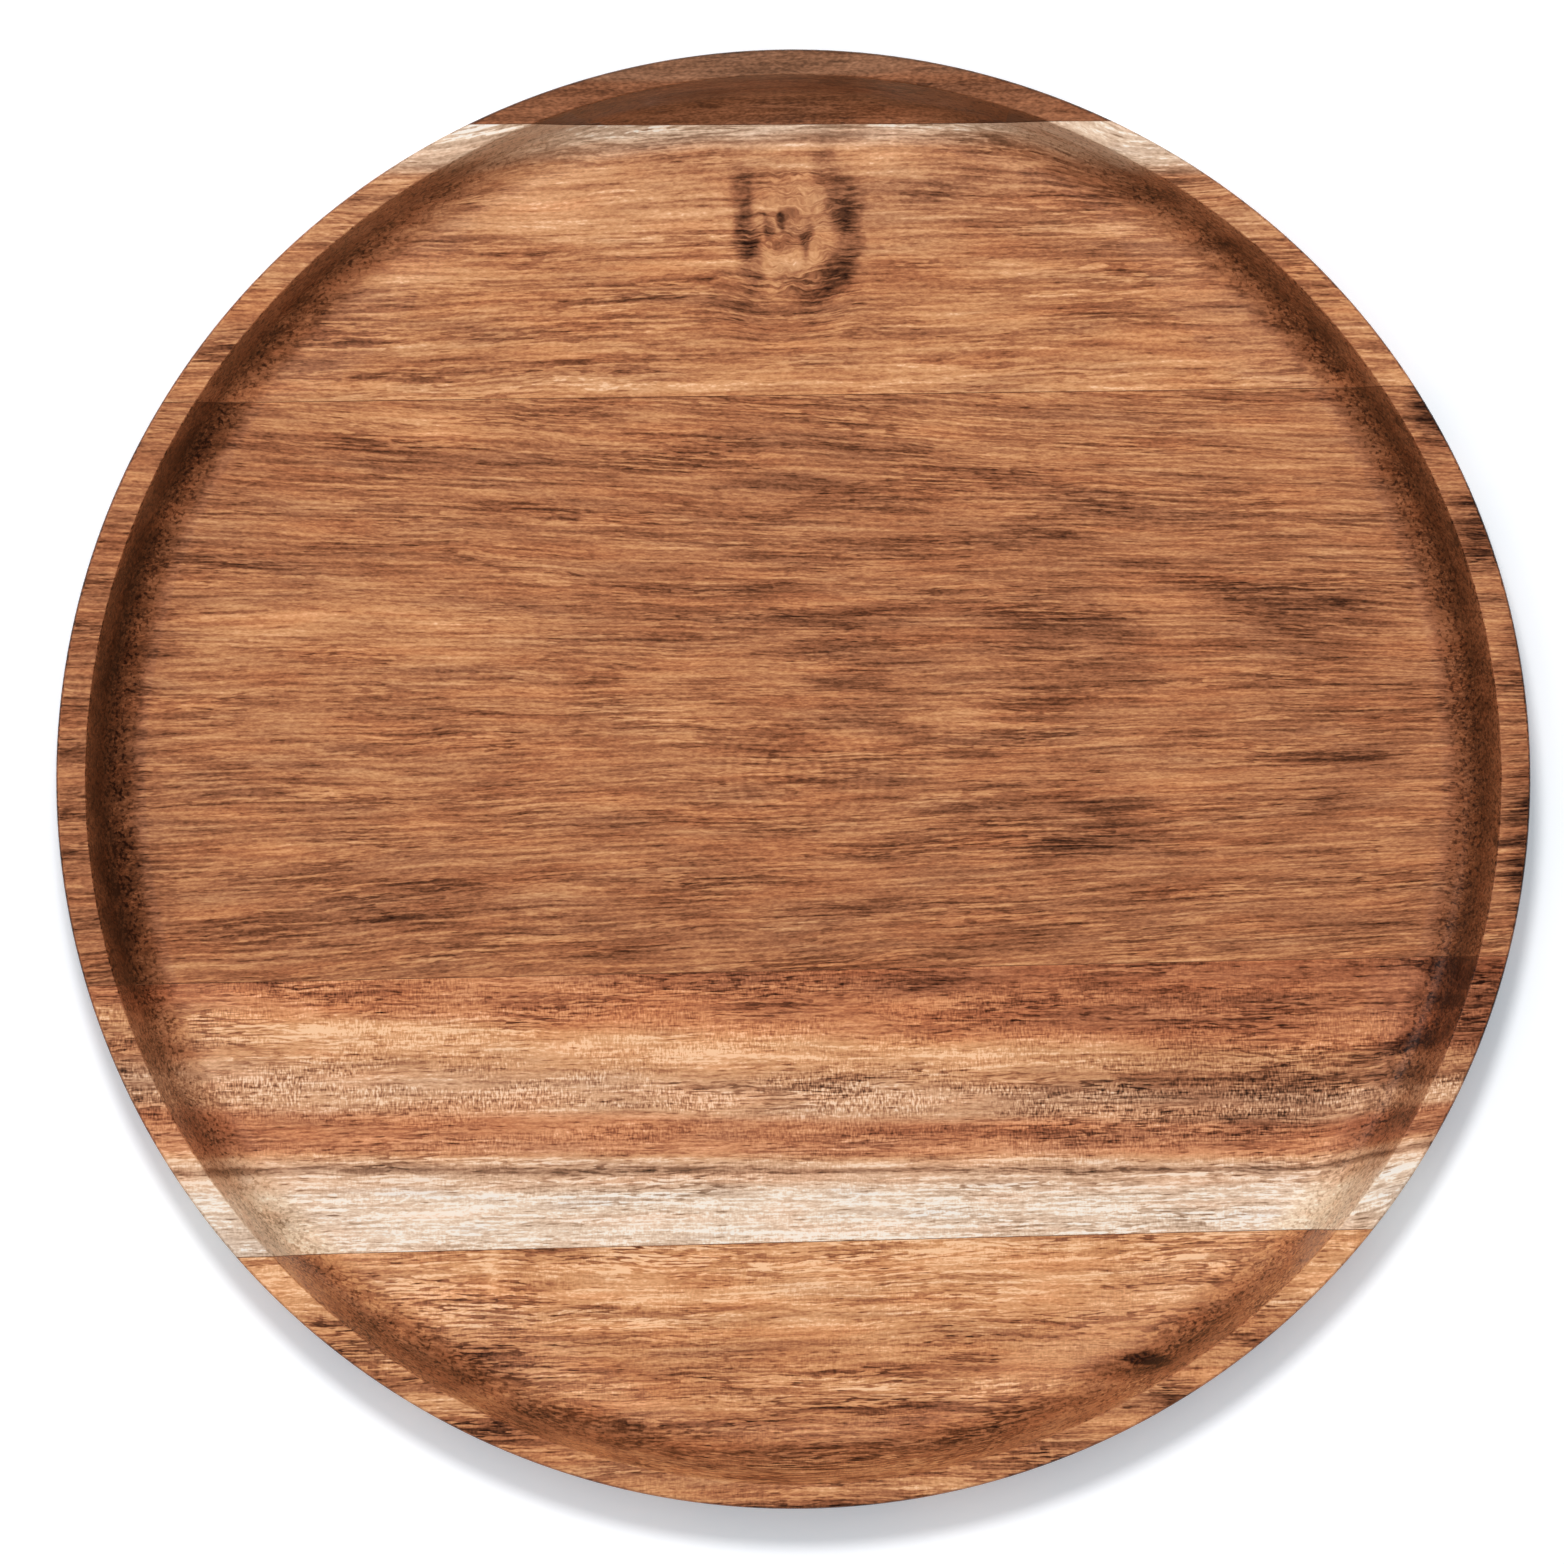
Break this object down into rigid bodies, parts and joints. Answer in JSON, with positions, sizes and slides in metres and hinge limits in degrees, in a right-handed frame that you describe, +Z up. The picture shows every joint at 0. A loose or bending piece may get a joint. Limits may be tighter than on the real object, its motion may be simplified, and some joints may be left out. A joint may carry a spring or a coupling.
{
  "type": "serving tray",
  "caption": "Round hardwood serving tray with a flat rim and a shallow coved well, turned from a panel of staves glued edge to edge.",
  "frame": {"origin": "centre of the tray's base, on the surface it rests on", "axes": "+Z up out of the well, +X along the grain of the staves, +Y towards the back stave"},
  "size_m": [0.2998, 0.2968, 0.022],
  "materials": {
    "dark_heartwood": "oiled satin",
    "tan_heartwood": "oiled satin",
    "brown_heartwood": "oiled satin",
    "sapwood_edge": "oiled satin",
    "golden_heartwood": "oiled satin",
    "cured_glue": "matte"
  },
  "bodies": {
    "root": {"back_stave": "dark_heartwood", "knotted_stave": "tan_heartwood", "centre_stave": "brown_heartwood", "sapwood_stave": "sapwood_edge", "front_stave": "golden_heartwood", "glue_back_to_knotted": "cured_glue", "glue_knotted_to_centre": "cured_glue", "glue_centre_to_sapwood": "cured_glue", "glue_sapwood_to_front": "cured_glue"}
  },
  "joints": []
}
